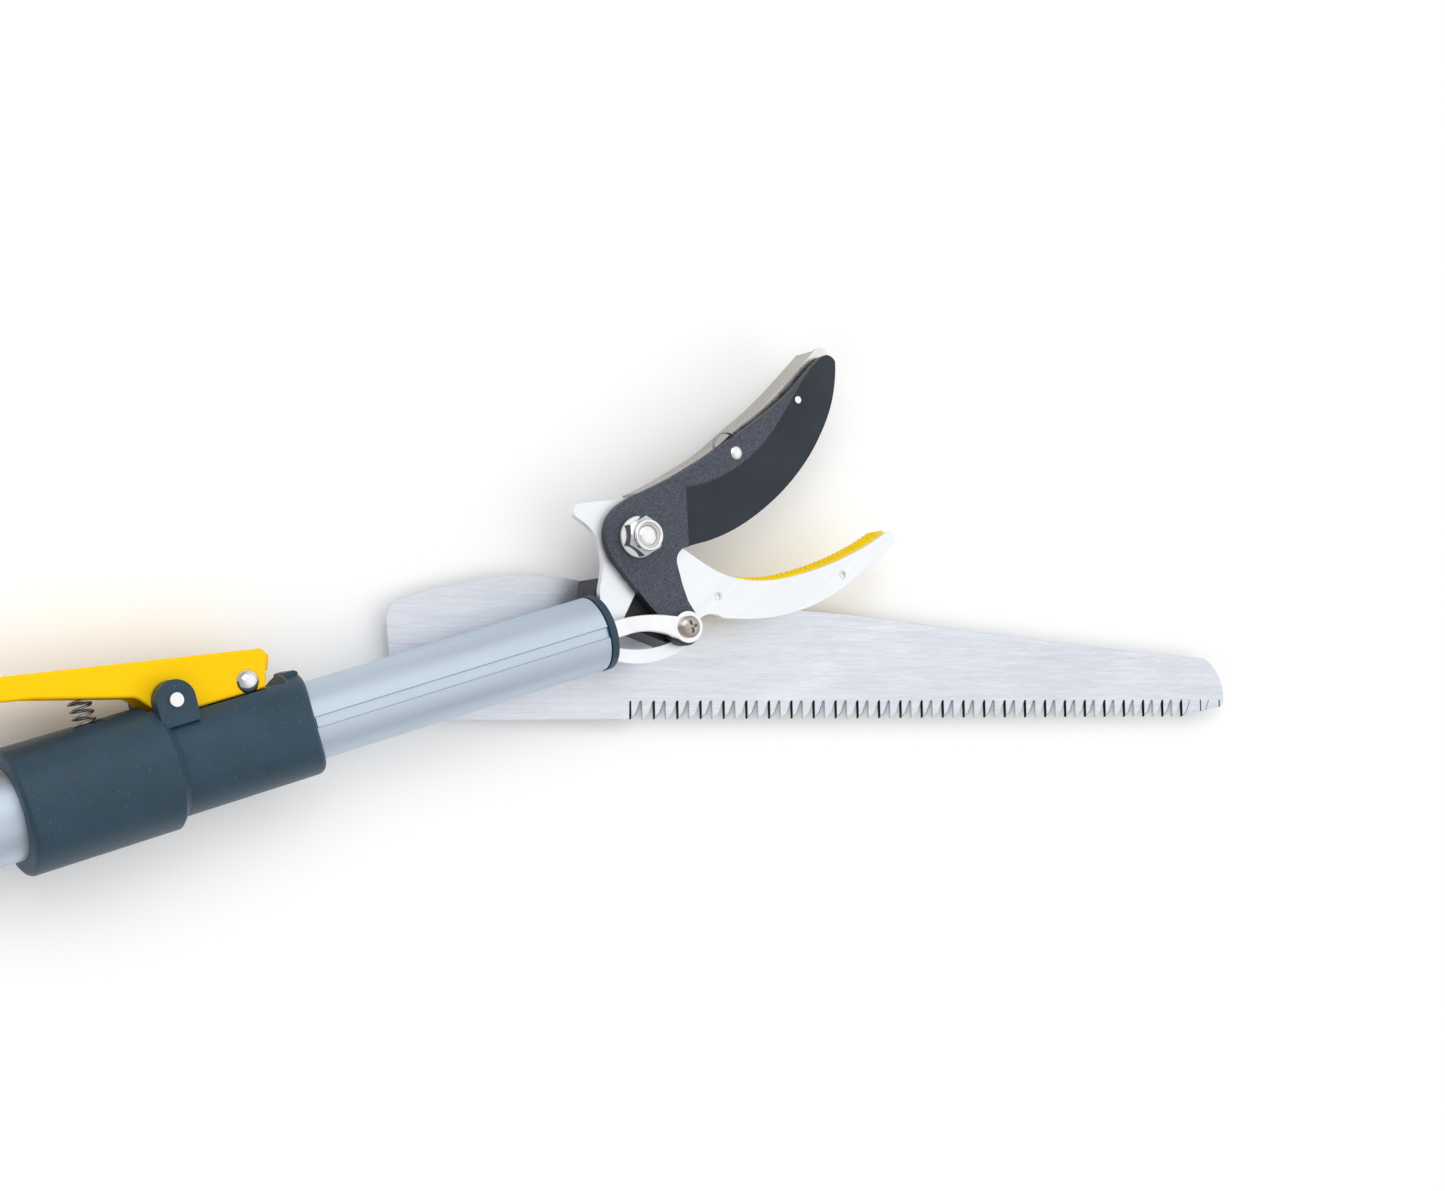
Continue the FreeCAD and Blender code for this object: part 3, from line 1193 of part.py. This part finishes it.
fill_sheet()
make_outer_pole()
make_inner_pole()
make_pull_rods()
make_pole_end()
make_head_plate()
make_jaw_pad()
make_jaw_rivets()
make_pivot()
make_blade()
make_link()
make_holder()
make_saw()
make_saw_carrier()
make_saw_fasteners()
drill_inner_pole()
make_collar()
make_lock_lever()
make_handle()
make_trigger()
make_bail()
doc.recompute()
check_document()
write_steps()
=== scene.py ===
import json
import math

import bpy
from mathutils import Matrix, Vector


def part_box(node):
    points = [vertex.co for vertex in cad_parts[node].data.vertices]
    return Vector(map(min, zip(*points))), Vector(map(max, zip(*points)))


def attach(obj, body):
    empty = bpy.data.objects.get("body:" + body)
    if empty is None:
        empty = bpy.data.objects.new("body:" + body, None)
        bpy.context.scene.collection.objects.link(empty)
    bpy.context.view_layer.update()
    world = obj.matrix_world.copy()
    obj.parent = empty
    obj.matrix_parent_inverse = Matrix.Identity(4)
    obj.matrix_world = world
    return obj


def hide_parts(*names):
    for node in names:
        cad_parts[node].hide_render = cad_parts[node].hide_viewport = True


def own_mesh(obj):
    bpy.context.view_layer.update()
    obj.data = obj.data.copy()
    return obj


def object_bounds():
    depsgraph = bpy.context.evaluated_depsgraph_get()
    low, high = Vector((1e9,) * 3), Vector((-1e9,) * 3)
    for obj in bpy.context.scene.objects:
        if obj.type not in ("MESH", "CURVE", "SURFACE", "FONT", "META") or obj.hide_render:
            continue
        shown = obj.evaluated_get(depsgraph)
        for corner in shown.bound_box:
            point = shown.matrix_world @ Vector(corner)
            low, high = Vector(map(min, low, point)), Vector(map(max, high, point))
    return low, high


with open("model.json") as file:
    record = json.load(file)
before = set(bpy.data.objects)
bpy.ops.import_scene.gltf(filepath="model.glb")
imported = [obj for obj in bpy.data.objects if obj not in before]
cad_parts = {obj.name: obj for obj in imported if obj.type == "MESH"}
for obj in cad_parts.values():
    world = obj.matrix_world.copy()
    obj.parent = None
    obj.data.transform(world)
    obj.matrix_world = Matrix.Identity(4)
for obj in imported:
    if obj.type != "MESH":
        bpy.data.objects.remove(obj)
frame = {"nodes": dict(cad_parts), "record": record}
NODES = frame["nodes"]
AT_LOAD = [list(corner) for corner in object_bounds()]

# The head's details are placed about the inner pole's end, which is 1 mm past the tube itself.
HEAD_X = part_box("inner_pole")[1].x + 0.001
BLADE_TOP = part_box("blade")[1].z

# The saw's length and height directions, its first tooth, its row of teeth and their spacing.
# Every second tooth is ground on the face that shows, so the painted shadow and shade line on its grind
# repeat at twice the pitch.
SAW_ANGLE = math.radians(-15.9)
SAW_ALONG = Vector((math.cos(SAW_ANGLE), math.sin(SAW_ANGLE), 0.0))
SAW_ACROSS = Vector((-math.sin(SAW_ANGLE), math.cos(SAW_ANGLE), 0.0))
SAW_CORNER = Vector((HEAD_X + 0.0124, -0.0362, 0.0))
SAW_START = SAW_CORNER.dot(SAW_ALONG) + 0.0007
SAW_EDGE = SAW_CORNER.dot(SAW_ACROSS)
TOOTH_PITCH = 0.0051
TOOTH_HEIGHT = 0.0071
GRIND_KNEE = 0.0021
GRIND_TOP = 0.0068
SHADE_LINE_WIDTH = 0.00022


# ---------------------------------------------------------------- material helpers

class Shader:
    """A small node graph around one Principled shader, in the row frame's metres."""

    def __init__(self, name):
        self.material = bpy.data.materials.new(name)
        self.material.use_nodes = True
        self.tree = self.material.node_tree
        self.principled = self.tree.nodes["Principled BSDF"]
        self.place = self.tree.nodes.new("ShaderNodeTexCoord").outputs["Object"]

    def node(self, kind, inputs=(), **settings):
        node = self.tree.nodes.new(kind)
        for key, value in settings.items():
            setattr(node, key, value)
        for key, value in dict(inputs).items():
            self.link(value, node.inputs[key])
        return node

    def link(self, value, socket):
        if isinstance(value, bpy.types.NodeSocket):
            self.tree.links.new(value, socket)
        else:
            socket.default_value = value

    def set(self, **values):
        for key, value in values.items():
            self.link(value, self.principled.inputs[key.replace("_", " ")])

    def stretched(self, scale, turn=0.0, at=(0.0, 0.0, 0.0)):
        """The place, turned about Z and scaled, so that noise can run along one direction."""
        turned = self.node("ShaderNodeMapping", {0: self.place, "Location": at,
                                                 "Rotation": (0.0, 0.0, -turn)})
        drawn = self.node("ShaderNodeMapping", {0: turned.outputs[0], "Scale": scale})
        return drawn.outputs[0]

    def noise(self, scale, detail=3.0, roughness=0.55, vector=None):
        node = self.node("ShaderNodeTexNoise", {
            "Vector": vector or self.place, "Scale": scale, "Detail": detail, "Roughness": roughness})
        return node.outputs["Fac"]

    def ramp(self, value, low, high, start=0.0, end=1.0):
        """value mapped from low..high to start..end, clamped."""
        node = self.node("ShaderNodeMapRange", {
            "Value": value, "From Min": low, "From Max": high, "To Min": start, "To Max": end})
        return node.outputs["Result"]

    def math(self, operation, a, b=0.0):
        node = self.node("ShaderNodeMath", {0: a, 1: b}, operation=operation)
        return node.outputs[0]

    def mix(self, factor, a, b):
        node = self.node("ShaderNodeMix", data_type="RGBA")
        self.link(factor, node.inputs[0])
        self.link(a, node.inputs[6])
        self.link(b, node.inputs[7])
        return node.outputs[2]

    def axis(self, name):
        node = self.node("ShaderNodeSeparateXYZ", {0: self.place})
        return node.outputs[name]

    def bump(self, height, distance, strength=1.0, edge=0.0):
        """Surface relief, over edges softened by a small radius."""
        inputs = {"Height": height, "Distance": distance, "Strength": strength}
        if edge > 0.0:
            soft = self.node("ShaderNodeBevel", {"Radius": edge}, samples=4)
            inputs["Normal"] = soft.outputs[0]
        node = self.node("ShaderNodeBump", inputs)
        self.set(Normal=node.outputs[0])


def rgb(red, green, blue):
    """A linear colour from 0-255 display values."""
    def linear(value):
        value /= 255.0
        return value / 12.92 if value <= 0.04045 else ((value + 0.055) / 1.055) ** 2.4
    return (linear(red), linear(green), linear(blue), 1.0)


# ---------------------------------------------------------------- materials

def brushed(name, light, dark, roughness, direction=0.0, grain=1.0, edge=0.0003,
            fine_scale=260.0):
    """Metal ground or drawn along one direction, with long faint streaks and a few scratches."""
    s = Shader(name)
    fine = s.noise(fine_scale, 2.0, 0.6, s.stretched((0.08, 1.0, 1.0), direction))
    broad = s.noise(0.3 * fine_scale, 3.0, 0.6,
                    s.stretched((0.07, 1.0, 1.0), direction, (0.3, 0.1, 0.0)))
    cloud = s.noise(14.0, 3.0, 0.5)
    tone = s.math("ADD", s.math("MULTIPLY", fine, 0.6), s.math("MULTIPLY", broad, 0.4))
    tone = s.ramp(tone, 0.32, 0.68)
    s.set(Base_Color=s.mix(tone, dark, light), Metallic=1.0)
    rough = s.math("ADD", s.ramp(fine, 0.3, 0.7, roughness - 0.05, roughness + 0.07),
                   s.ramp(cloud, 0.4, 0.75, 0.0, 0.08))
    s.set(Roughness=rough, Anisotropic=0.35 * grain)
    scratch = s.noise(2.5 * fine_scale, 1.0, 0.5,
                      s.stretched((0.03, 1.0, 1.0), direction, (0.0, 0.7, 0.2)))
    height = s.math("ADD", s.math("MULTIPLY", scratch, 0.6), s.math("MULTIPLY", fine, 0.4))
    s.bump(height, 0.00002 * grain, 0.6, edge)
    return s


def saw_steel():
    """Ground steel, with a painted shadow on the front and a painted shade line along the back of every
    second tooth.
    """
    s = brushed("saw steel", rgb(232, 235, 241), rgb(204, 209, 219), 0.42, SAW_ANGLE, 1.6,
                fine_scale=1900.0)
    along = s.node("ShaderNodeVectorMath", {0: s.place, 1: SAW_ALONG}, operation="DOT_PRODUCT")
    across = s.node("ShaderNodeVectorMath", {0: s.place, 1: SAW_ACROSS}, operation="DOT_PRODUCT")
    repeat = 2.0 * TOOTH_PITCH
    reach = s.math("SUBTRACT", along.outputs["Value"], SAW_START - 0.0005)
    tooth = s.math("MULTIPLY", s.math("FRACT", s.math("DIVIDE", reach, repeat)), repeat)
    height = s.math("SUBTRACT", across.outputs["Value"], SAW_EDGE)
    below_top = s.math("LESS_THAN", height, TOOTH_HEIGHT)
    in_row = s.math("MULTIPLY", below_top, s.math("GREATER_THAN", reach, 0.0))
    # Painted shadow: a dark band on the front of every second tooth, where its gullet lies in shade.
    gullet_shadow = s.math("MULTIPLY", s.ramp(tooth, 0.0002, 0.00035), s.ramp(tooth, 0.001, 0.0008))
    facet = s.ramp(height, 0.0, GRIND_KNEE, 0.0005, 0.0031)
    back = s.math("ADD", facet, s.ramp(height, GRIND_KNEE, GRIND_TOP, 0.0, 0.00195))
    from_back = s.math("ABSOLUTE", s.math("SUBTRACT", tooth, s.math("SUBTRACT", back, 0.0001)))
    # Painted shade: a thin dark line along the back edge of each tooth's grind.
    grind_edge_shade = s.math("MULTIPLY", s.math("LESS_THAN", from_back, SHADE_LINE_WIDTH), 0.75)
    dark = s.math("MULTIPLY", in_row, s.math("MAXIMUM", gullet_shadow, grind_edge_shade))
    ground = s.principled.inputs["Base Color"].links[0].from_socket
    s.set(Base_Color=s.mix(dark, ground, rgb(30, 32, 36)))
    return s


def plated(name, light, dark, roughness, edge=0.00025):
    """Nickel or zinc plate: even and bright, with faint clouding and small handling marks."""
    s = Shader(name)
    cloud = s.noise(120.0, 4.0, 0.6)
    marks = s.noise(1400.0, 2.0, 0.7)
    s.set(Base_Color=s.mix(s.ramp(cloud, 0.35, 0.7), dark, light), Metallic=1.0,
          Roughness=s.ramp(cloud, 0.3, 0.75, roughness - 0.04, roughness + 0.1))
    s.bump(marks, 0.00001, 0.5, edge)
    return s


def holder_plate_side_shade():
    """Nickel plate on the branch holder: bright on the faces turned up, such as the strip's edges, and
    painted darker on its sides as shade.
    """
    s = plated("holder plate", rgb(232, 230, 227), rgb(222, 220, 217), 0.24)
    bright = s.principled.inputs["Base Color"].links[0].from_socket
    # Painted shade: faces turned away from +Z get a darker colour, as the strip's shaded sides.
    facing = s.node("ShaderNodeSeparateXYZ", {0: s.node("ShaderNodeNewGeometry").outputs["Normal"]})
    s.set(Base_Color=s.mix(s.ramp(facing.outputs["Z"], 0.5, 0.9), rgb(168, 163, 156), bright))
    return s


def moulded(name, light, dark, roughness, grain_size=1500.0, relief=0.00006, edge=0.0004, specular=0.45):
    """Moulded plastic with a fine spark-eroded grain, painted pale glints on the grain's specks, and a
    slightly worn sheen.
    """
    s = Shader(name)
    grain = s.noise(grain_size, 2.0, 0.6)
    cloud = s.noise(30.0, 3.0, 0.6)
    # Painted glints: the grain's highest specks are lightened towards a pale copy of the colour.
    painted_glints = s.ramp(grain, 0.62, 0.78)
    base = s.mix(s.ramp(cloud, 0.3, 0.7), dark, light)
    glint_colour = tuple(min(1.0, channel * 1.9 + 0.01) for channel in light[:3]) + (1.0,)
    s.set(Base_Color=s.mix(s.math("MULTIPLY", painted_glints, 0.6), base, glint_colour),
          Roughness=s.math("ADD", s.ramp(grain, 0.3, 0.7, roughness - 0.06, roughness + 0.06),
                           s.ramp(cloud, 0.3, 0.7, -0.03, 0.03)),
          Specular_IOR_Level=specular)
    s.bump(grain, relief, 0.7, edge)
    return s


def painted(name, light, dark, roughness, edge=0.0004):
    """Powder coat: orange-peel ripple and colour that varies a little in broad patches."""
    s = Shader(name)
    peel = s.noise(420.0, 2.0, 0.5)
    cloud = s.noise(25.0, 2.0, 0.5)
    dust = s.noise(2600.0, 1.0, 0.5)
    s.set(Base_Color=s.mix(s.ramp(cloud, 0.3, 0.7), dark, light),
          Roughness=s.ramp(dust, 0.3, 0.7, roughness - 0.03, roughness + 0.05),
          Specular_IOR_Level=0.1, Coat_Weight=0.02, Coat_Roughness=0.2)
    s.bump(peel, 0.00004, 0.4, edge)
    return s


def blade_coat():
    """The blade's dark coating: grained on the flats, smoother and darker on the ground bevel."""
    s = Shader("blade coating")
    grain = s.noise(1700.0, 2.0, 0.65)
    cloud = s.noise(60.0, 3.0, 0.5)
    height = s.axis("Z")
    ground = s.ramp(height, BLADE_TOP - 0.00005, BLADE_TOP - 0.00013)
    upper = s.ramp(height, BLADE_TOP - 0.0036, BLADE_TOP - 0.0034)
    bevel = s.math("MULTIPLY", ground, upper)
    flat = s.mix(s.ramp(grain, 0.35, 0.75), rgb(50, 55, 66), rgb(92, 98, 112))
    smooth = s.mix(s.ramp(cloud, 0.3, 0.7), rgb(26, 33, 44), rgb(36, 43, 54))
    s.set(Base_Color=s.mix(bevel, flat, smooth), Metallic=0.25,
          Roughness=s.math("SUBTRACT", s.ramp(grain, 0.3, 0.7, 0.5, 0.62),
                           s.math("MULTIPLY", bevel, 0.08)))
    relief = s.math("MULTIPLY", grain, s.math("SUBTRACT", 1.0, s.math("MULTIPLY", bevel, 0.85)))
    s.bump(relief, 0.00006, 0.7, 0.0003)
    return s


def rubber(name, tone):
    s = Shader(name)
    grain = s.noise(900.0, 3.0, 0.6)
    s.set(Base_Color=s.mix(s.ramp(grain, 0.3, 0.7), tone, tuple(2.2 * c for c in tone[:3]) + (1.0,)),
          Roughness=s.ramp(grain, 0.3, 0.7, 0.72, 0.88), Specular_IOR_Level=0.3)
    s.bump(grain, 0.0001, 0.8, 0.0004)
    return s


MATERIALS = {
    "satin_aluminium": brushed(
        "anodised aluminium", rgb(200, 211, 223), rgb(192, 204, 217), 0.5, 0.0, 0.1),
    "plated_steel": plated("plated steel", rgb(240, 240, 241), rgb(230, 230, 231), 0.17, 0.00015),
    "saw_steel": saw_steel(),
    "plate_steel": brushed("plate steel", rgb(246, 248, 250), rgb(232, 235, 239), 0.45, 0.4, 0.4),
    "coated_blade_steel": blade_coat(),
    "bright_chrome": plated("chrome", rgb(235, 236, 240), rgb(222, 224, 230), 0.07),
    "slate_plastic": moulded(
        "slate plastic", rgb(48, 72, 88), rgb(39, 61, 75), 0.42, 900.0, 0.0002, specular=0.28),
    "dark_plastic": moulded("dark plastic", rgb(50, 53, 57), rgb(38, 41, 45), 0.5),
    "yellow_paint": painted("yellow paint", rgb(255, 208, 0), rgb(255, 199, 0), 0.4),
    "yellow_plastic": moulded(
        "yellow plastic", rgb(255, 222, 0), rgb(248, 210, 0), 0.42, 900.0, specular=0.2),
    "white_plastic": moulded("white plastic", rgb(226, 226, 220), rgb(210, 210, 204), 0.45),
    "grip_rubber": rubber("grip rubber", rgb(26, 27, 29)),
    "bronze": plated("sintered bronze", rgb(196, 158, 104), rgb(170, 130, 82), 0.38),
    "spring_steel": plated("spring steel", rgb(176, 177, 180), rgb(140, 142, 146), 0.26),
}


def dress(obj, shader):
    obj.data.materials.clear()
    obj.data.materials.append(shader.material)


def smooth_by_angle():
    """Joins the seams between a mesh's faces and shades it smooth up to a crease angle."""
    tree = bpy.data.node_groups.new("smooth by angle", "GeometryNodeTree")
    for way in ("INPUT", "OUTPUT"):
        tree.interface.new_socket("Geometry", in_out=way, socket_type="NodeSocketGeometry")
    start = tree.nodes.new("NodeGroupInput")
    plain = tree.nodes.new("GeometryNodeRemoveAttribute")
    plain.inputs["Name"].default_value = "custom_normal"
    weld = tree.nodes.new("GeometryNodeMergeByDistance")
    weld.inputs["Distance"].default_value = 0.000002
    angle = tree.nodes.new("GeometryNodeInputMeshEdgeAngle")
    crease = tree.nodes.new("FunctionNodeCompare")
    crease.operation = "LESS_THAN"
    crease.inputs[1].default_value = math.radians(28.0)
    faces = tree.nodes.new("GeometryNodeSetShadeSmooth")
    faces.domain = "FACE"
    edges = tree.nodes.new("GeometryNodeSetShadeSmooth")
    edges.domain = "EDGE"
    end = tree.nodes.new("NodeGroupOutput")
    for source, target in ((start, plain), (plain, weld), (weld, faces), (faces, edges), (edges, end)):
        tree.links.new(source.outputs[0], target.inputs[0])
    tree.links.new(angle.outputs["Unsigned Angle"], crease.inputs[0])
    tree.links.new(crease.outputs[0], edges.inputs["Shade Smooth"])
    return tree


SMOOTH = smooth_by_angle()
SLOT_OF = {part["node"]: part["material_slot"] for part in frame["record"]["subparts"]}
OWN_MATERIALS = {
    "holder": holder_plate_side_shade(),
    "link_screw": plated("screw plate", rgb(184, 178, 172), rgb(168, 162, 156), 0.2, 0.0001),
}
for node_name, node_object in NODES.items():
    dress(node_object, OWN_MATERIALS.get(node_name) or MATERIALS[SLOT_OF[node_name]])
    node_object.modifiers.new("smooth", "NODES").node_group = SMOOTH

# Each compression spring: the joint that presses it, its length's direction, and how much of its
# length is left at that joint's limit. Each is copied into a coil that rides with the handle pole.
SPRINGS = (
    ("return_spring", "lower_rod_slide", (1.0, 0.0, 0.0), 0.35),
    ("lever_spring", "lever_press", (0.0, 1.0, 0.0), 0.68),
)
for spring_name, joint, along, length_left in SPRINGS:
    node_object = NODES[spring_name]
    coil = bpy.data.objects.new(spring_name + "_coil", node_object.data.copy())
    bpy.context.scene.collection.objects.link(coil)
    coil.matrix_world = node_object.matrix_world.copy()
    dress(coil, MATERIALS[SLOT_OF[spring_name]])
    coil.modifiers.new("smooth", "NODES").node_group = SMOOTH
    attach(coil, "handle_pole")
    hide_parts(spring_name)
    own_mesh(coil)


# ---------------------------------------------------------------- stage, light and camera

# The sky is brightest in one direction and falls off from it on every side.
SKY_TOWARDS = (0.495, 0.06, 0.866)
SKY_LOW, SKY_HIGH = 0.5, 1.16

lowest = AT_LOAD[0][2]
bpy.ops.mesh.primitive_plane_add(size=14.0, location=(HEAD_X - 0.3, 0.0, lowest - 0.0005))
floor = bpy.context.object
floor.name = "floor"
paper = Shader("paper floor")
paper.set(Base_Color=rgb(252, 252, 252), Roughness=0.9, Specular_IOR_Level=0.1)
dress(floor, paper)

world = bpy.data.worlds.new("studio")
bpy.context.scene.world = world
world.use_nodes = True
sky = world.node_tree
where = sky.nodes.new("ShaderNodeTexCoord")
facing = sky.nodes.new("ShaderNodeVectorMath")
facing.operation = "DOT_PRODUCT"
facing.inputs[1].default_value = SKY_TOWARDS
fade = sky.nodes.new("ShaderNodeMapRange")
fade.interpolation_type = "SMOOTHSTEP"
sky.links.new(where.outputs["Generated"], facing.inputs[0])
sky.links.new(facing.outputs["Value"], fade.inputs["Value"])
for socket, value in (("From Min", 0.2), ("From Max", 1.0), ("To Min", SKY_LOW), ("To Max", SKY_HIGH)):
    fade.inputs[socket].default_value = value
sky.nodes["Background"].inputs["Color"].default_value = (1.0, 1.0, 1.0, 1.0)
sky.links.new(fade.outputs["Result"], sky.nodes["Background"].inputs["Strength"])


def soft_box(name, location, target, width, height, power, mirrored):
    light = bpy.data.lights.new(name, "AREA")
    light.shape = "RECTANGLE"
    light.size, light.size_y, light.energy = width, height, power
    obj = bpy.data.objects.new(name, light)
    bpy.context.scene.collection.objects.link(obj)
    obj.location = location
    obj.rotation_mode = "QUATERNION"
    obj.rotation_quaternion = (Vector(target) - Vector(location)).to_track_quat("-Z", "Y")
    obj.visible_glossy = mirrored


centre = (HEAD_X, 0.0, 0.0)
soft_box("key", (HEAD_X - 0.5, 1.2, 1.5), centre, 1.6, 1.0, 8.0, True)
soft_box("fill", (HEAD_X + 1.3, -0.8, 1.4), centre, 1.2, 1.2, 3.0, False)
soft_box("rear", (HEAD_X - 1.4, -0.4, 1.0), centre, 1.0, 0.8, 3.0, False)

camera = bpy.data.objects.new("camera", bpy.data.cameras.new("camera"))
bpy.context.scene.collection.objects.link(camera)
camera.data.sensor_width = 36.0
camera.data.lens = 69.76
camera.data.clip_start, camera.data.clip_end = 0.05, 50.0
right = Vector((0.830, -0.2571, 0.495)).normalized()
back = Vector((-0.4951, 0.0691, 0.8661)).normalized()
up = back.cross(right).normalized()
right = up.cross(back)
turn = Matrix((right, up, back)).transposed().to_4x4()
camera.matrix_world = Matrix.Translation((HEAD_X - 0.47107, 0.07318, 0.92407)) @ turn
bpy.context.scene.camera = camera

bpy.context.scene.view_settings.view_transform = "Standard"
